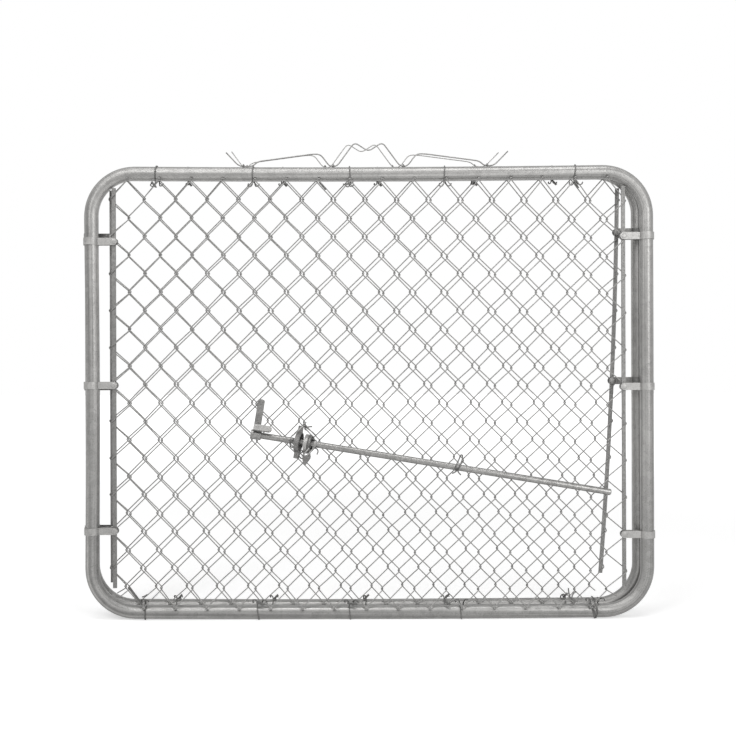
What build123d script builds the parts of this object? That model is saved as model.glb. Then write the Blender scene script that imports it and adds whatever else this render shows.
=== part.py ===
from build123d import *
import os
from math import cos, degrees, radians, sin, sqrt

os.makedirs("parts", exist_ok=True)

# All sizes are in millimetres. X runs along the gate, Y from its front to its back, Z up.
# The origin lies on the flat back cheek of the rear leaf's left middle band.

# Leaf frame, one bent tube
leaf_width = 1435
leaf_height = 1143
tube_diameter = 34.9
corner_radius = 109  # to the tube's centreline

# The front leaf hangs a little to the right of the rear one and lower
leaf_shift = 10
leaf_drop = 6

# Tension bars, with the distance from each upright's axis to its bar
bar_width = 9.5
bar_thickness = 4.8
front_left_reach = 57
front_right_reach = 58
rear_left_reach = 51
rear_right_reach = 52.4
rear_right_lean = 14  # this bar stands askew and is bowed, so its loose foot is further in
rear_right_bow = 38
bar_foot_gap = 44  # from a bar's foot to the bottom rail
loose_foot_gap = 64

# Woven fabric: upright zigzag pickets, each hooked into the next
picket_count = 32
strand_count = 23
wire_diameter = 3
wire_sides = 3
link_overlap = 5  # from a wire's centre to the centre of the wire hooked into it
turn_height = 6  # drop of the wire where it crosses from front to back at a turn
selvage_gap = 3.2  # from the rails to the fabric's first and last turns
corner_cut = 0.45  # share of the last strand that is left where the corner cuts it off

# Bands: a strap round the upright, its two flat cheeks reach past the bar and end round
band_width = 18
strap_thickness = 1.9
# Places of the bands: the top one below the leaf's top edge, the middle one above the leaf's
# middle and the bottom one above its bottom edge
front_left_bands = {"top": 190, "middle": 19, "bottom": 223}
front_right_bands = {"top": 180, "middle": 12, "bottom": 211}
rear_left_bands = {"top": 180, "middle": 9, "bottom": 216}
rear_right_bands = {"top": 171, "middle": 20}  # the loose foot has no band

# Crown: a bent wire on the top rail
crown_wire = 3.2
crown_half_width = 352
crown_height = 61
crown_shift = 8  # the rear crown stands a little to the left

# Drop rod with its collar, handle and latch plate
rod_diameter = 15.9
rod_length = 914
rod_angle = 9.4
rod_foot_x = 605  # from the front leaf's middle to the rod's lower end
rod_foot_z = -253
collar_diameter = 24
collar_length = 26
handle_width = 17
handle_thickness = 4.5
handle_rise = 90  # from the rod's axis to the handle's top
handle_twist = 20
plate_length = 46
plate_width = 17
plate_thickness = 4.5
plate_rise = 19.5  # from the rod's axis to the middle of the plate
plate_tilt = 38
plate_station = 28  # stations are measured along the rod from its upper end

# Small hardware strung on the rod: clamps for post and frame, a hinge strap and a guide ring
clamp_thickness = 2.8
ring_turn = 11  # the rings hang turned, so their open side shows from the front
ear_gap = 5
post_clamp_station = 122
post_clamp_diameter = 50
post_clamp_width = 12
post_ear = 16
frame_clamp_station = 143
frame_clamp_diameter = 46
frame_clamp_width = 9
frame_ear = 2
hinge_station = 151.5
hinge_diameter = 43
hinge_width = 6
lug_length = 36
lug_left = 14  # the lug reaches this far to the left of its ring's middle
lug_right = 6
guide_station = 162.5
guide_diameter = 22
guide_length = 7

# Clearances
tube_clearance = 0.3  # strap to tube
wire_clearance = 0.3  # wire to the bar that it passes
turn_clearance = 0.6  # wire to the bar's edge that it turns round
seat = 0.3  # pieces that lie against each other

tube_radius = tube_diameter / 2
wire_radius = wire_diameter / 2
half_width = leaf_width / 2 - tube_radius  # to the upright's axis
half_height = leaf_height / 2 - tube_radius
inner_top = leaf_height / 2 - tube_diameter
weave_depth = bar_thickness / 2 + wire_clearance + wire_radius
fabric_top = inner_top - selvage_gap - wire_radius
strand_drop = 2 * fabric_top / strand_count
fabric_half_depth = weave_depth + wire_radius

ring_inner = tube_radius + tube_clearance
ring_outer = ring_inner + strap_thickness
cheek_inner = fabric_half_depth + wire_clearance
cheek_outer = cheek_inner + strap_thickness

# The mount is the part of the cheek that stays free between the ring and the bolt
mount_reach = (ring_outer + rear_left_reach - band_width / 2) / 2
rear_x = half_width - mount_reach
rear_y = -cheek_outer
rear_z = -rear_left_bands["middle"]
front_x = rear_x + leaf_shift
# The leaves touch where the rings of their middle bands lie side by side.
leaf_spacing = sqrt((2 * ring_outer + seat) ** 2 - leaf_shift**2)
front_y = rear_y - leaf_spacing
front_z = rear_z - leaf_drop


def turn_level(strand):
    """Height of the turn that ends this strand, from the leaf's middle."""
    return fabric_top - strand * strand_drop


def band_level(height, distance):
    """Height of a band from the leaf's middle, for its distance from the edge it belongs to."""
    if height == "top":
        return leaf_height / 2 - distance
    if height == "bottom":
        return distance - leaf_height / 2
    return distance


def drift_at(level, drift):
    """How far a bar has moved inwards at this height: a parabola from the top down."""
    lean, bow = drift
    fall = (inner_top - level) / (2 * inner_top)
    return lean * fall + bow * fall**2


def corner_level(inset):
    """Height of the frame's inner edge at this distance from the upright's axis."""
    inner_radius = corner_radius - tube_radius
    across = max(corner_radius - inset, 0)
    return half_height - corner_radius + sqrt(inner_radius**2 - across**2)


def make_frame():
    """A tube bent into a loop with four round corners."""
    straight_x = half_width - corner_radius
    straight_z = half_height - corner_radius
    with BuildPart() as frame:
        for side in (-1, 1):
            with BuildSketch(Plane.XY.offset(-straight_z)):
                with Locations((side * half_width, 0)):
                    Circle(tube_radius)
            extrude(amount=2 * straight_z)
            with BuildSketch(Plane.YZ.offset(-straight_x)):
                with Locations((0, side * half_height)):
                    Circle(tube_radius)
            extrude(amount=2 * straight_x)
            for rise in (-1, 1):
                with BuildSketch(Plane.XY.offset(rise * straight_z)):
                    with Locations((side * half_width, 0)):
                        Circle(tube_radius)
                bend_axis = Axis((side * straight_x, 0, rise * straight_z), (0, 1, 0))
                revolve(axis=bend_axis, revolution_arc=-90 * side * rise)
    return frame.part


def picket_path(index, left_edge, right_edge, drift):
    """Points of one picket: it runs down from turn to turn, with rising strands in front."""
    at_edge = index in (0, picket_count - 1)
    starts_left = index % 2 == 1
    flat_right = at_edge
    points = []
    for strand in range(strand_count + 1):
        level = turn_level(strand)
        pitch = (right_edge - drift_at(level, drift) - left_edge) / picket_count
        left_x = left_edge + index * pitch - (link_overlap / 2 if index > 0 else 0)
        last_picket = index == picket_count - 1
        right_x = left_edge + (index + 1) * pitch + (0 if last_picket else link_overlap / 2)
        on_left = (strand % 2 == 0) == starts_left
        if on_left:
            turn = [(left_x, -weave_depth, level + turn_height / 2)]
            turn.append((left_x, weave_depth, level - turn_height / 2))
        elif flat_right:
            turn = [(right_x, weave_depth, level + turn_height / 2)]
            turn.append((right_x, -weave_depth, level - turn_height / 2))
        else:
            turn = [(right_x, 0, level)]
        if strand == 0:
            turn = turn[-1:]
        if strand == strand_count:
            turn = turn[:1]
        points += [Vector(*point) for point in turn]
    if at_edge:
        points[-1] = points[-2] + (points[-1] - points[-2]) * corner_cut
    return points


def make_fabric(left_reach, right_reach, drift):
    """Pickets hooked into each other, the outer ones round the tension bars."""
    edge_offset = bar_width / 2 + turn_clearance + wire_radius
    left_edge = -half_width + left_reach - edge_offset
    right_edge = half_width - right_reach + edge_offset
    pickets = []
    for index in range(picket_count):
        with BuildPart() as picket:
            with BuildLine() as path:
                Polyline(*picket_path(index, left_edge, right_edge, drift))
            with BuildSketch(Plane(origin=path.line @ 0, z_dir=path.line % 0)):
                RegularPolygon(radius=wire_radius, side_count=wire_sides)
            sweep(path=path.line, transition=Transition.RIGHT)
        pickets.append(picket.part.solid())
    return Compound(pickets)


def make_bar(side, reach, foot_gap, drift):
    """A flat bar from just under the frame's corner down to its foot."""
    top = corner_level(reach - bar_width / 2) - seat
    foot = -inner_top + foot_gap
    upright_x = side * half_width
    top_x = upright_x - side * (reach + drift_at(top, drift))
    foot_x = upright_x - side * (reach + drift_at(foot, drift))
    # The middle control point lies where the parabola's end tangents meet.
    lean, bow = drift
    top_slope = side * (lean + bow * (inner_top - top) / inner_top) / (2 * inner_top)
    middle = (top + foot) / 2
    middle_x = top_x + top_slope * (middle - top)
    with BuildPart() as bar:
        with BuildSketch(Plane.XZ.offset(-bar_thickness / 2)):
            with BuildLine():
                for edge in (-bar_width / 2, bar_width / 2):
                    if lean or bow:
                        Bezier((top_x + edge, top), (middle_x + edge, middle), (foot_x + edge, foot))
                    else:
                        Line((top_x + edge, top), (foot_x + edge, foot))
                for end_x, level in ((top_x, top), (foot_x, foot)):
                    Line((end_x - bar_width / 2, level), (end_x + bar_width / 2, level))
            make_face()
        extrude(amount=bar_thickness)
    return bar.part


def make_band(side, reach, level):
    """A strap bent round the upright; its cheeks pass the bar on both sides and end round."""
    bottom = level - band_width / 2
    base = Plane(origin=(side * half_width, 0, bottom), x_dir=(-side, 0, 0), z_dir=(0, 0, 1))
    cheek_end = reach + band_width / 2
    with BuildPart() as band:
        with BuildSketch(base):
            Circle(ring_outer)
            with Locations((cheek_end / 2, 0)):
                Rectangle(cheek_end, 2 * cheek_outer)
            Circle(ring_inner, mode=Mode.SUBTRACT)
            with Locations((cheek_end / 2, 0)):
                Rectangle(cheek_end, 2 * cheek_inner, mode=Mode.SUBTRACT)
        extrude(amount=band_width)
        end_faces = band.faces().filter_by(Axis.X).sort_by(Axis.X)
        ends = end_faces[-2:] if side < 0 else end_faces[:2]
        fillet(ends.edges().filter_by(Axis.Y), band_width / 2 - 0.1)
    return band.part


def make_crown():
    """A wire bent to a peak in the middle and a low arm with a turned-up tip on each side."""
    base = leaf_height / 2 + seat + crown_wire / 2
    # Shares of the half width and of the height, from the middle outwards
    half = [
        (0, 0.62),
        (0.1, 1),
        (0.227, 0),
        (0.278, 0),
        (0.344, 0.51),
        (0.403, 0.51),
        (0.795, 0.2),
        (0.83, 0),
        (0.898, 0),
        (1, 0.59),
    ]
    right = [(x * crown_half_width, 0, base + rise * crown_height) for x, rise in half]
    left = [(-x, 0, z) for x, _, z in reversed(right[1:])]
    with BuildPart() as crown:
        with BuildLine() as path:
            Polyline(*left, *right)
        with BuildSketch(Plane(origin=path.line @ 0, z_dir=path.line % 0)):
            RegularPolygon(radius=crown_wire / 2, side_count=6)
        sweep(path=path.line, transition=Transition.RIGHT)
    return crown.part


def write(part, name, place=Location()):
    """Puts a finished piece in its place, names it and writes its file."""
    placed = part.moved(place)
    placed.label = name
    export_step(placed, f"parts/{name}.step")


def write_leaf(leaf, place, reaches, bands, drift, crown_place):
    """One leaf: frame, fabric, two bars, the bands and the crown."""
    left_reach, right_reach = reaches
    left_bands, right_bands = bands
    right_gap = loose_foot_gap if any(drift) else bar_foot_gap
    write(make_frame(), f"{leaf}_frame", place)
    write(make_fabric(left_reach, right_reach, drift), f"{leaf}_fabric", place)
    write(make_bar(-1, left_reach, bar_foot_gap, (0, 0)), f"{leaf}_left_bar", place)
    write(make_bar(1, right_reach, right_gap, drift), f"{leaf}_right_bar", place)
    for height, distance in left_bands.items():
        band = make_band(-1, left_reach, band_level(height, distance))
        write(band, f"{leaf}_left_{height}_band", place)
    for height, distance in right_bands.items():
        level = band_level(height, distance)
        band = make_band(1, right_reach + drift_at(level, drift), level)
        write(band, f"{leaf}_right_{height}_band", place)
    write(make_crown(), f"{leaf}_crown", place * crown_place)


write_leaf(
    "front",
    Location((front_x, front_y, front_z)),
    (front_left_reach, front_right_reach),
    (front_left_bands, front_right_bands),
    (0, 0),
    Location(),
)
write_leaf(
    "rear",
    Location((rear_x, rear_y, rear_z)),
    (rear_left_reach, rear_right_reach),
    (rear_left_bands, rear_right_bands),
    (rear_right_lean, rear_right_bow),
    Location((-crown_shift, 0, 0)),
)

# The rod leans on the fabric with its foot and with the thicker collar, so it also turns a
# little out of the leaf.
rod_radius = rod_diameter / 2
collar_radius = collar_diameter / 2
rod_turn = (collar_radius - rod_radius) / rod_length
rod_foot_y = front_y - fabric_half_depth - seat - rod_radius
rod_foot = Vector(front_x + rod_foot_x, rod_foot_y, front_z + rod_foot_z)
rod_direction = Vector(-cos(radians(rod_angle)), -rod_turn, sin(radians(rod_angle))).normalized()
rod_front = Vector(0, 0, 1).cross(rod_direction).normalized()
# Across the rod: X to the front, Y up, Z along the rod from its foot.
across_rod = Plane(origin=rod_foot, x_dir=rod_front, z_dir=rod_direction)

with BuildPart() as drop_rod:
    with BuildSketch(across_rod):
        Circle(rod_radius)
    extrude(amount=rod_length)
    chamfer(drop_rod.edges().filter_by(GeomType.CIRCLE), rod_diameter / 10)
write(drop_rod.part, "drop_rod")

collar_middle = rod_length - collar_length / 2
with BuildPart() as rod_collar:
    with BuildSketch(across_rod.offset(rod_length - collar_length)):
        Circle(collar_radius)
        Circle(rod_radius, mode=Mode.SUBTRACT)
    extrude(amount=collar_length)
write(rod_collar.part, "rod_collar")

# The handle stands on the collar and is twisted a little about its own length.
handle_foot = collar_radius + seat
foot_point = across_rod.from_local_coords(Vector(0, handle_foot, collar_middle))
handle_base = Plane(origin=foot_point, x_dir=rod_direction, z_dir=across_rod.y_dir)
with BuildPart() as rod_handle:
    with BuildSketch(handle_base):
        Rectangle(handle_width, handle_thickness, rotation=handle_twist)
    extrude(amount=handle_rise - handle_foot)
    top_edges = rod_handle.faces().sort_by(Axis.Z)[-1].edges()
    fillet(top_edges.sort_by(SortBy.LENGTH)[:2], handle_width / 3)
write(rod_handle.part, "rod_handle")

# The latch plate is a tilted ledge at the front of the handle, round at one end.
twist = radians(handle_twist)
tilt = radians(plate_tilt)
handle_front = (handle_thickness * cos(twist) + handle_width * sin(twist)) / 2
plate_back = (plate_width * sin(tilt) + plate_thickness * cos(tilt)) / 2
plate_middle = Vector(handle_front + seat + plate_back, plate_rise, rod_length - plate_station)
plate_point = across_rod.from_local_coords(plate_middle)
plate_normal = rod_front * cos(tilt) + across_rod.y_dir * sin(tilt)
plate_base = Plane(origin=plate_point, x_dir=rod_direction, z_dir=plate_normal)
with BuildPart() as rod_latch_plate:
    with BuildSketch(plate_base):
        with Locations((plate_width / 4, 0)):
            Rectangle(plate_length - plate_width / 2, plate_width)
        with Locations((plate_width / 2 - plate_length / 2, 0)):
            Circle(plate_width / 2)
    extrude(amount=plate_thickness / 2, both=True)
write(rod_latch_plate.part, "rod_latch_plate")


def ring_plane(station, diameter, width):
    """Plane on one side of a hung ring: X to its front, Y up, with the rod against its back."""
    turn = radians(ring_turn)
    inner_radius = diameter / 2 - clamp_thickness
    depth = inner_radius * cos(turn) - width / 2 * sin(turn) - rod_radius - seat
    middle = across_rod.from_local_coords(Vector(depth, 0, rod_length - station))
    ring_front = rod_front * cos(turn) + rod_direction * sin(turn)
    ring_axis = rod_direction * cos(turn) - rod_front * sin(turn)
    return Plane(origin=middle, x_dir=ring_front, z_dir=ring_axis).offset(-width / 2)


def make_clamp(station, diameter, width, ear, folded):
    """A strap ring hung on the rod, with two ears below and perhaps a folded one above."""
    ear_reach = diameter / 2 + ear
    with BuildPart() as clamp:
        with BuildSketch(ring_plane(station, diameter, width)):
            Circle(diameter / 2)
            with Locations((0, -ear_reach / 2)):
                Rectangle(ear_gap + 2 * clamp_thickness, ear_reach)
            if folded:
                with Locations((0, ear_reach / 2)):
                    Rectangle(2 * clamp_thickness, ear_reach)
            Circle(diameter / 2 - clamp_thickness, mode=Mode.SUBTRACT)
            with Locations((0, -ear_reach / 2)):
                Rectangle(ear_gap, ear_reach, mode=Mode.SUBTRACT)
        extrude(amount=width)
    return clamp.part


post_clamp = make_clamp(post_clamp_station, post_clamp_diameter, post_clamp_width, post_ear, True)
write(post_clamp, "post_clamp")
frame_clamp = make_clamp(frame_clamp_station, frame_clamp_diameter, frame_clamp_width, frame_ear, False)
write(frame_clamp, "frame_clamp")

# The hinge strap is a narrow ring with a leaf-shaped lug below it.
hinge_plane = ring_plane(hinge_station, hinge_diameter, hinge_width)
lug_top = clamp_thickness / 2 - hinge_diameter / 2
lug_point = hinge_plane.from_local_coords(Vector(0, lug_top, hinge_width / 2))
lug_base = Plane(origin=lug_point, x_dir=-rod_direction, z_dir=rod_front)
with BuildPart() as hinge_lug:
    with BuildSketch(hinge_plane):
        Circle(hinge_diameter / 2)
        Circle(hinge_diameter / 2 - clamp_thickness, mode=Mode.SUBTRACT)
    extrude(amount=hinge_width)
    with BuildSketch(lug_base):
        with BuildLine():
            Polyline(
                (-hinge_width / 2, 0),
                (hinge_width / 2, 0),
                (lug_right, -lug_length * 0.3),
                (lug_right, -lug_length * 0.45),
                (-lug_left * 0.3, -lug_length),
                (-lug_left * 0.7, -lug_length * 0.9),
                (-lug_left, -lug_length * 0.55),
                (-lug_left, -lug_length * 0.35),
                (-hinge_width / 2, -lug_length * 0.22),
                close=True,
            )
        make_face()
    extrude(amount=clamp_thickness / 2, both=True)
write(hinge_lug.part, "hinge_lug")

with BuildPart() as guide_ring:
    with BuildSketch(across_rod.offset(rod_length - guide_station - guide_length / 2)):
        Circle(guide_diameter / 2)
        Circle(rod_radius + seat, mode=Mode.SUBTRACT)
    extrude(amount=guide_length)
write(guide_ring.part, "guide_ring")
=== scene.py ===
import math

import bpy
import numpy as np
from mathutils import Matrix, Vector


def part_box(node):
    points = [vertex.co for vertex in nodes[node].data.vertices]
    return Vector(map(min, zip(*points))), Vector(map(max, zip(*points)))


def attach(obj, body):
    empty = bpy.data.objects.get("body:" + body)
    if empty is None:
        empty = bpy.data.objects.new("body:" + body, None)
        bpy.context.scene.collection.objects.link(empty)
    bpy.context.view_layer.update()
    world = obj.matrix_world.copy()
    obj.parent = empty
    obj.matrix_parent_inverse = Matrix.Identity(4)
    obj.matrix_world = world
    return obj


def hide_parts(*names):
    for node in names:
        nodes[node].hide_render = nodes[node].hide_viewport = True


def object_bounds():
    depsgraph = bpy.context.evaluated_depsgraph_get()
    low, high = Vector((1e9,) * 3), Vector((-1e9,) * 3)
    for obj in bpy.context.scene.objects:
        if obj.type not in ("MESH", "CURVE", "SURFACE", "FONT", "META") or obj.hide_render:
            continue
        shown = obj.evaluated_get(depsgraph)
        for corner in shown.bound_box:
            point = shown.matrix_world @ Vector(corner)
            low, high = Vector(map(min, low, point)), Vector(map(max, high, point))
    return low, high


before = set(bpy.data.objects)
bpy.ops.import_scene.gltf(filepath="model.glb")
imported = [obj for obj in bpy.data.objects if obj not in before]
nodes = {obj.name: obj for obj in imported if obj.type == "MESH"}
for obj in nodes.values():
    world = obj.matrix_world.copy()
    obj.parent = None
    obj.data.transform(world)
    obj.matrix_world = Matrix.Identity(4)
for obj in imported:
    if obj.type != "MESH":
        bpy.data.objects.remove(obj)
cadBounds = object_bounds()
scene = bpy.context.scene
randomPlace = np.random.default_rng(11)
print("frame loaded,", len(nodes), "nodes")


# Curves and surfaces that every wire and tube is made from

# Lengths each vector to one.
def unit(vectors):
    return vectors / np.linalg.norm(vectors, axis=-1, keepdims=True)


# Rounds the corners of open paths, shape (wires, corners, 3). At a corner P the path leaves its
# straight run at A and joins the next one at C, each no further than the radius or half a run
# away, and follows (1 - s)^2 A + 2 s (1 - s) P + s^2 C between them.
def roundCorners(corners, radius, steps):
    runs = np.diff(corners, axis=1)
    runLength = np.linalg.norm(runs, axis=2, keepdims=True)
    reach = np.minimum(radius, runLength * 0.48)
    corner = corners[:, 1:-1]
    before = corner - (runs / runLength * reach)[:, :-1]
    after = corner + (runs / runLength * reach)[:, 1:]
    s = np.linspace(0, 1, steps)[None, None, :, None]
    arcs = (1 - s) ** 2 * before[:, :, None] + 2 * s * (1 - s) * corner[:, :, None]
    arcs = arcs + s**2 * after[:, :, None]
    arcs = arcs.reshape(len(corners), -1, 3)
    return np.concatenate([corners[:, :1], arcs, corners[:, -1:]], axis=1)


# Carries a round profile along paths, shape (wires, steps, 3). With tangent t and a fixed
# reference r, the ring at each step is p + radius (cos a (t x r) + sin a (t x r) x t).
def carryRound(path, radius, sides, reference, closed=False):
    if closed:
        tangent = unit(np.roll(path, -1, axis=1) - np.roll(path, 1, axis=1))
    else:
        tangent = unit(np.gradient(path, axis=1))
    across = unit(np.cross(tangent, np.asarray(reference, float)))
    other = np.cross(across, tangent)
    turn = np.arange(sides) * 2 * math.pi / sides
    reachAt = np.broadcast_to(radius, path.shape[:2])[..., None, None]
    ring = np.cos(turn)[:, None] * across[:, :, None] + np.sin(turn)[:, None] * other[:, :, None]
    return path[:, :, None] + reachAt * ring


# Makes one mesh from rings, shape (wires, steps, sides, 3): each ring joins the next one, and the
# ends of an open wire are closed with a face.
def meshFromRings(name, rings, closed=False, values=None):
    wires, steps, sides = rings.shape[:3]
    index = np.arange(wires * steps * sides).reshape(wires, steps, sides)
    first = index if closed else index[:, :-1]
    second = np.roll(index, -1, axis=1) if closed else index[:, 1:]
    quads = [first, second, np.roll(second, -1, axis=2), np.roll(first, -1, axis=2)]
    quads = np.stack(quads, axis=-1).reshape(-1, 4)
    loops = [quads.ravel()]
    sizes = [np.full(len(quads), 4)]
    if not closed:
        caps = np.concatenate([index[:, 0], index[:, -1, ::-1]])
        loops.append(caps.ravel())
        sizes.append(np.full(len(caps), sides))
    loops = np.concatenate(loops)
    sizes = np.concatenate(sizes)
    mesh = bpy.data.meshes.new(name)
    mesh.vertices.add(index.size)
    mesh.vertices.foreach_set("co", np.asarray(rings, np.float32).ravel())
    mesh.loops.add(len(loops))
    mesh.loops.foreach_set("vertex_index", loops.astype(np.int32))
    mesh.polygons.add(len(sizes))
    starts = np.concatenate([[0], np.cumsum(sizes)[:-1]])
    mesh.polygons.foreach_set("loop_start", starts.astype(np.int32))
    mesh.polygons.foreach_set("use_smooth", sizes == 4)
    for label, share in (values or {}).items():
        layer = mesh.attributes.new(label, "FLOAT", "POINT")
        share = share.reshape(share.shape + (1,) * (3 - share.ndim))
        spread = np.broadcast_to(share, (wires, steps, sides))
        layer.data.foreach_set("value", np.asarray(spread, np.float32).ravel())
    mesh.update()
    mesh.validate()
    piece = bpy.data.objects.new(name, mesh)
    scene.collection.objects.link(piece)
    return piece


# Gives a piece its finish, its slot and the body that it rides on.
def settle(piece, material, replaced=()):
    piece.data.materials.clear()
    piece.data.materials.append(material)
    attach(piece, "root")
    if replaced:
        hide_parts(*replaced)
    return piece


# Finishes

finishLook = {
    "tube": {"light": 0.35, "dark": 0.24, "spangle": 70.0, "grime": 0.35, "rough": 0.36, "metal": 0.7},
    "wire": {"light": 0.33, "dark": 0.23, "spangle": 90.0, "grime": 0.30, "rough": 0.48, "metal": 0.55},
    "strap": {"light": 0.42, "dark": 0.30, "spangle": 110.0, "grime": 0.30, "rough": 0.45, "metal": 0.6},
    "rod": {"light": 0.36, "dark": 0.2, "spangle": 140.0, "grime": 0.5, "rough": 0.3, "metal": 0.85},
    "bolt": {"light": 0.36, "dark": 0.20, "spangle": 220.0, "grime": 0.45, "rough": 0.5, "metal": 0.6},
    "bar": {"light": 0.27, "dark": 0.17, "spangle": 160.0, "grime": 0.45, "rough": 0.5, "metal": 0.55},
    # darker finish: on the rear leaf's bands it is painted shade from the front leaf in front of them;
    # on the post clamp, hinge lug and rod handle it is their duller zinc
    "dull": {"light": 0.29, "dark": 0.12, "spangle": 130.0, "grime": 0.5, "rough": 0.5, "metal": 0.55},
    "tie": {"light": 0.2, "dark": 0.13, "spangle": 160.0, "grime": 0.4, "rough": 0.5, "metal": 0.5},
}


def newSocket(group, name, kind, inward, value=None):
    socket = group.interface.new_socket(
        name=name, in_out="INPUT" if inward else "OUTPUT", socket_type=kind
    )
    if value is not None:
        socket.default_value = value
    return socket


def addNode(tree, kind, place, **settings):
    node = tree.nodes.new(kind)
    node.location = place
    for label, value in settings.items():
        setattr(node, label, value)
    return node


# Zinc coat: crystals of two greys, a broad drift between them, fine dull specks and a bump.
def makeZincGroup():
    group = bpy.data.node_groups.new("zincCoat", "ShaderNodeTree")
    newSocket(group, "Light Zinc", "NodeSocketFloat", True, 0.4)
    newSocket(group, "Dark Zinc", "NodeSocketFloat", True, 0.3)
    newSocket(group, "Spangle Scale", "NodeSocketFloat", True, 60.0)
    newSocket(group, "Grime", "NodeSocketFloat", True, 0.3)
    newSocket(group, "Roughness", "NodeSocketFloat", True, 0.45)
    newSocket(group, "Color", "NodeSocketColor", False)
    newSocket(group, "Roughness", "NodeSocketFloat", False)
    newSocket(group, "Height", "NodeSocketFloat", False)
    source = addNode(group, "NodeGroupInput", (-1200, 0))
    result = addNode(group, "NodeGroupOutput", (900, 0))
    coords = addNode(group, "ShaderNodeTexCoord", (-1200, -300))
    warp = addNode(group, "ShaderNodeTexNoise", (-1000, -300))
    warp.inputs["Scale"].default_value = 40
    bend = addNode(group, "ShaderNodeVectorMath", (-800, -300), operation="MULTIPLY_ADD")
    bend.inputs[1].default_value = (0.006, 0.006, 0.006)
    crystals = addNode(group, "ShaderNodeTexVoronoi", (-600, -200), feature="F1")
    drift = addNode(group, "ShaderNodeTexNoise", (-600, -450))
    drift.inputs["Scale"].default_value = 7
    drift.inputs["Detail"].default_value = 4
    specks = addNode(group, "ShaderNodeTexNoise", (-600, -700))
    specks.inputs["Scale"].default_value = 420
    specks.inputs["Detail"].default_value = 3
    tone = addNode(group, "ShaderNodeSeparateColor", (-400, -200))
    blend = addNode(group, "ShaderNodeMath", (-200, -200), operation="MULTIPLY_ADD")
    blend.inputs[1].default_value = 0.45
    lean = addNode(group, "ShaderNodeMath", (-400, -450), operation="MULTIPLY_ADD")
    lean.inputs[1].default_value = 0.9
    lean.inputs[2].default_value = -0.17
    level = addNode(group, "ShaderNodeMapRange", (0, -100))
    dull = addNode(group, "ShaderNodeMapRange", (0, -500))
    dull.inputs["From Min"].default_value = 0.52
    dull.inputs["From Max"].default_value = 0.72
    shade = addNode(group, "ShaderNodeMath", (200, -400), operation="MULTIPLY")
    darken = addNode(group, "ShaderNodeMath", (350, -400), operation="SUBTRACT")
    darken.inputs[0].default_value = 1.0
    grey = addNode(group, "ShaderNodeMath", (500, -100), operation="MULTIPLY")
    warm = addNode(group, "ShaderNodeCombineColor", (700, -100))
    redShare = addNode(group, "ShaderNodeMath", (600, 60), operation="MULTIPLY")
    redShare.inputs[1].default_value = 1.012
    blueShare = addNode(group, "ShaderNodeMath", (600, -220), operation="MULTIPLY")
    blueShare.inputs[1].default_value = 0.975
    matt = addNode(group, "ShaderNodeMath", (500, -600), operation="MULTIPLY_ADD")
    matt.inputs[1].default_value = 0.25
    relief = addNode(group, "ShaderNodeMath", (500, -800), operation="MULTIPLY_ADD")
    relief.inputs[1].default_value = 0.35
    links = group.links
    links.new(coords.outputs["Object"], warp.inputs["Vector"])
    links.new(warp.outputs["Color"], bend.inputs[0])
    links.new(coords.outputs["Object"], bend.inputs[2])
    links.new(bend.outputs["Vector"], crystals.inputs["Vector"])
    links.new(source.outputs["Spangle Scale"], crystals.inputs["Scale"])
    links.new(coords.outputs["Object"], drift.inputs["Vector"])
    links.new(coords.outputs["Object"], specks.inputs["Vector"])
    links.new(crystals.outputs["Color"], tone.inputs["Color"])
    links.new(drift.outputs["Fac"], lean.inputs[0])
    links.new(tone.outputs["Red"], blend.inputs[0])
    links.new(lean.outputs[0], blend.inputs[2])
    links.new(blend.outputs[0], level.inputs["Value"])
    links.new(source.outputs["Dark Zinc"], level.inputs["To Min"])
    links.new(source.outputs["Light Zinc"], level.inputs["To Max"])
    links.new(specks.outputs["Fac"], dull.inputs["Value"])
    links.new(dull.outputs["Result"], shade.inputs[0])
    links.new(source.outputs["Grime"], shade.inputs[1])
    links.new(shade.outputs[0], darken.inputs[1])
    links.new(level.outputs["Result"], grey.inputs[0])
    links.new(darken.outputs[0], grey.inputs[1])
    links.new(grey.outputs[0], redShare.inputs[0])
    links.new(grey.outputs[0], blueShare.inputs[0])
    links.new(redShare.outputs[0], warm.inputs["Red"])
    links.new(grey.outputs[0], warm.inputs["Green"])
    links.new(blueShare.outputs[0], warm.inputs["Blue"])
    links.new(warm.outputs["Color"], result.inputs["Color"])
    links.new(shade.outputs[0], matt.inputs[0])
    links.new(source.outputs["Roughness"], matt.inputs[2])
    links.new(matt.outputs[0], result.inputs["Roughness"])
    links.new(tone.outputs["Green"], relief.inputs[0])
    links.new(specks.outputs["Fac"], relief.inputs[2])
    links.new(relief.outputs[0], result.inputs["Height"])
    return group


zincGroup = makeZincGroup()


def makeZinc(name, look, bump=0.15):
    material = bpy.data.materials.new(name)
    material.use_nodes = True
    tree = material.node_tree
    shader = tree.nodes["Principled BSDF"]
    shader.inputs["Metallic"].default_value = look["metal"]
    coat = addNode(tree, "ShaderNodeGroup", (-600, 0), node_tree=zincGroup, name="coat")
    coat.inputs["Light Zinc"].default_value = look["light"]
    coat.inputs["Dark Zinc"].default_value = look["dark"]
    coat.inputs["Spangle Scale"].default_value = look["spangle"]
    coat.inputs["Grime"].default_value = look["grime"]
    coat.inputs["Roughness"].default_value = look["rough"]
    relief = addNode(tree, "ShaderNodeBump", (-300, -300))
    relief.inputs["Strength"].default_value = bump
    relief.inputs["Distance"].default_value = 0.0004
    tree.links.new(coat.outputs["Color"], shader.inputs["Base Color"])
    tree.links.new(coat.outputs["Roughness"], shader.inputs["Roughness"])
    tree.links.new(coat.outputs["Height"], relief.inputs["Height"])
    tree.links.new(relief.outputs["Normal"], shader.inputs["Normal"])
    return material


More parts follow.
